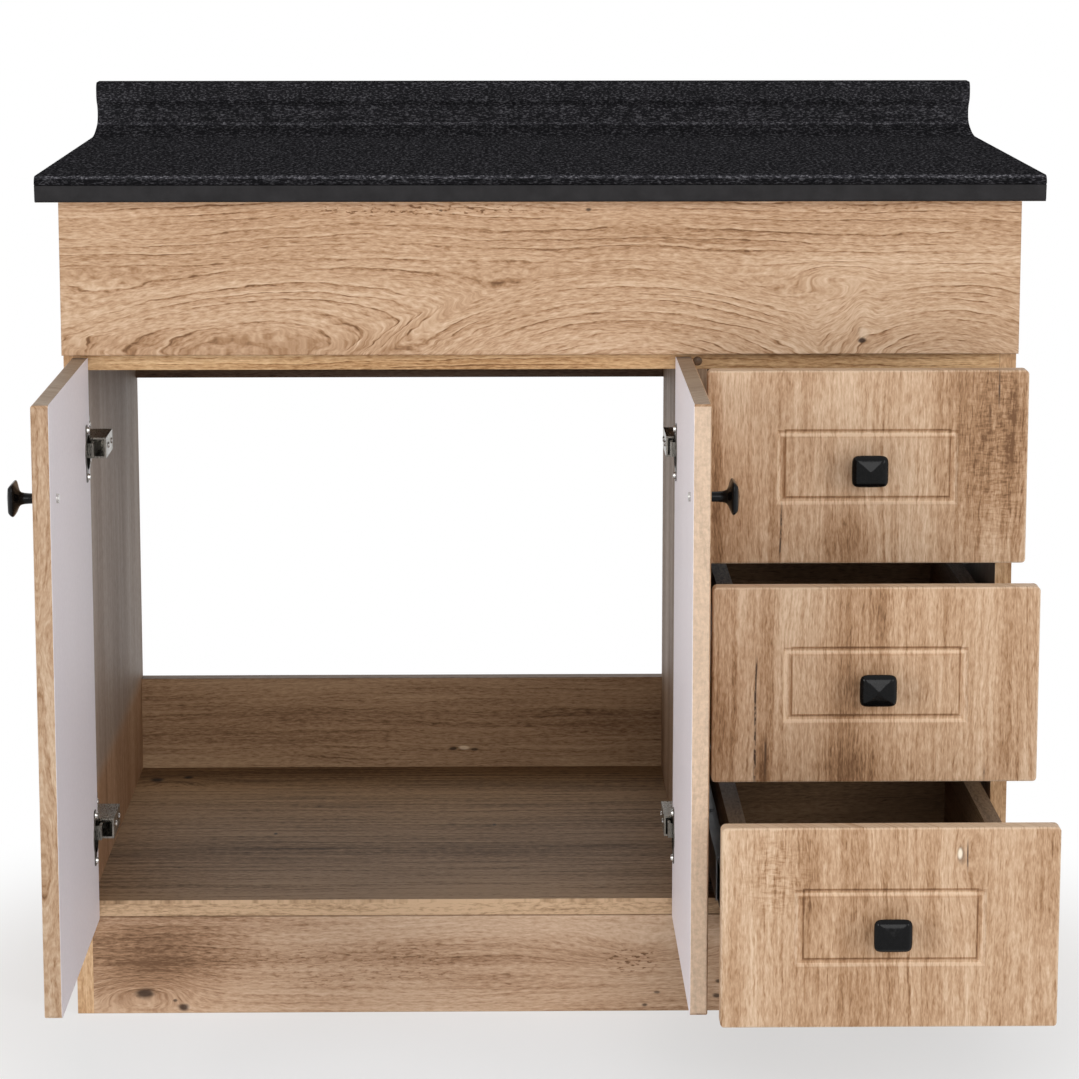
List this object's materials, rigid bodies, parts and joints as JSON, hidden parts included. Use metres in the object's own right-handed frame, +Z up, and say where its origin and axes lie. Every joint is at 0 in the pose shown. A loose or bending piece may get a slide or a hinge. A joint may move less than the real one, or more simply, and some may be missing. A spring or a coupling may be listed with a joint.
{
  "type": "vanity unit",
  "caption": "Free-standing oak-look bathroom vanity with a black speckled coved worktop, twin cupboard doors on concealed hinges and a bank of drawers on telescopic slides.",
  "frame": {"origin": "on the floor, at the middle of the line where the front edges of the carcass boards stand", "axes": "+X to the right along the front, +Y from the front to the wall, +Z up"},
  "size_m": [0.9535, 0.885, 0.887],
  "materials": {
    "oak_foil_board": "oak-look foil with routed grooves, pale melamine on the inner faces of the doors",
    "oak_carcass_board": "oak-look melamine board",
    "drawer_box_board": "grey-brown melamine board",
    "drawer_floor_board": "thin fibreboard, brown face",
    "black_speckled_laminate": "black speckled high-pressure laminate on a board core, low sheen",
    "laminate_edging": "black laminate edging",
    "black_knob": "gloss black",
    "bright_steel": "nickel-plated or zinc-plated steel"
  },
  "bodies": {
    "carcass": {"left_side_panel": "oak_carcass_board", "right_side_panel": "oak_carcass_board", "toe_kick": "oak_carcass_board", "bottom_panel": "oak_carcass_board", "divider_panel": "oak_carcass_board", "front_rail": "oak_carcass_board", "top_stretcher": "oak_carcass_board", "lower_back_rail": "oak_carcass_board", "upper_back_rail": "oak_carcass_board", "sink_apron": "oak_foil_board", "countertop": "black_speckled_laminate", "left_end_cap": "laminate_edging", "right_end_cap": "laminate_edging", "top_brackets": "bright_steel", "left_hinge_arms": "bright_steel", "left_hinge_plates": "bright_steel", "right_hinge_arms": "bright_steel", "right_hinge_plates": "bright_steel", "top_cabinet_rails": "bright_steel", "middle_cabinet_rails": "bright_steel", "bottom_cabinet_rails": "bright_steel"},
    "door_left": {"left_door": "oak_foil_board", "left_hinge_cups": "bright_steel", "left_hinge_pins": "bright_steel", "left_door_knob": "black_knob", "left_knob_screw": "bright_steel"},
    "door_right": {"right_door": "oak_foil_board", "right_hinge_cups": "bright_steel", "right_hinge_pins": "bright_steel", "right_door_knob": "black_knob", "right_knob_screw": "bright_steel"},
    "drawer_top": {"top_drawer_front": "oak_foil_board", "top_drawer_left_side": "drawer_box_board", "top_drawer_right_side": "drawer_box_board", "top_drawer_back": "drawer_box_board", "top_drawer_bottom": "drawer_floor_board", "top_drawer_knob": "black_knob", "top_drawer_knob_screw": "bright_steel", "top_drawer_rails": "bright_steel"},
    "slide_top": {"top_slide_links": "bright_steel"},
    "drawer_middle": {"middle_drawer_front": "oak_foil_board", "middle_drawer_left_side": "drawer_box_board", "middle_drawer_right_side": "drawer_box_board", "middle_drawer_back": "drawer_box_board", "middle_drawer_bottom": "drawer_floor_board", "middle_drawer_knob": "black_knob", "middle_drawer_knob_screw": "bright_steel", "middle_drawer_rails": "bright_steel"},
    "slide_middle": {"middle_slide_links": "bright_steel"},
    "drawer_bottom": {"bottom_drawer_front": "oak_foil_board", "bottom_drawer_left_side": "drawer_box_board", "bottom_drawer_right_side": "drawer_box_board", "bottom_drawer_back": "drawer_box_board", "bottom_drawer_bottom": "drawer_floor_board", "bottom_drawer_knob": "black_knob", "bottom_drawer_knob_screw": "bright_steel", "bottom_drawer_rails": "bright_steel"},
    "slide_bottom": {"bottom_slide_links": "bright_steel"}
  },
  "joints": [
    {"name": "left_door_swing", "type": "hinge", "parent": "carcass", "child": "door_left", "pos_m": [-0.444, -0.014, 0.377], "axis": [0, 0, 1], "range_deg": [0, 90]},
    {"name": "right_door_swing", "type": "hinge", "parent": "carcass", "child": "door_right", "pos_m": [0.14, -0.014, 0.377], "axis": [0, 0, -1], "range_deg": [0, 90]},
    {"name": "top_drawer_slide", "type": "slide", "parent": "carcass", "child": "drawer_top", "axis": [0, -1, 0], "range_m": [-0.084, 0.131]},
    {"name": "top_slide_extension", "type": "slide", "parent": "carcass", "child": "slide_top", "axis": [0, -1, 0], "range_m": [-0.042, 0.0655]},
    {"name": "middle_drawer_slide", "type": "slide", "parent": "carcass", "child": "drawer_middle", "axis": [0, -1, 0], "range_m": [-0.177, 0.253]},
    {"name": "middle_slide_extension", "type": "slide", "parent": "carcass", "child": "slide_middle", "axis": [0, -1, 0], "range_m": [-0.0885, 0.1265]},
    {"name": "bottom_drawer_slide", "type": "slide", "parent": "carcass", "child": "drawer_bottom", "axis": [0, -1, 0], "range_m": [-0.318, 0.112]},
    {"name": "bottom_slide_extension", "type": "slide", "parent": "carcass", "child": "slide_bottom", "axis": [0, -1, 0], "range_m": [-0.159, 0.056]}
  ],
  "couplings": [
    {"joint": "top_slide_extension", "follows": "top_drawer_slide", "ratio": 0.5},
    {"joint": "middle_slide_extension", "follows": "middle_drawer_slide", "ratio": 0.5},
    {"joint": "bottom_slide_extension", "follows": "bottom_drawer_slide", "ratio": 0.5}
  ]
}
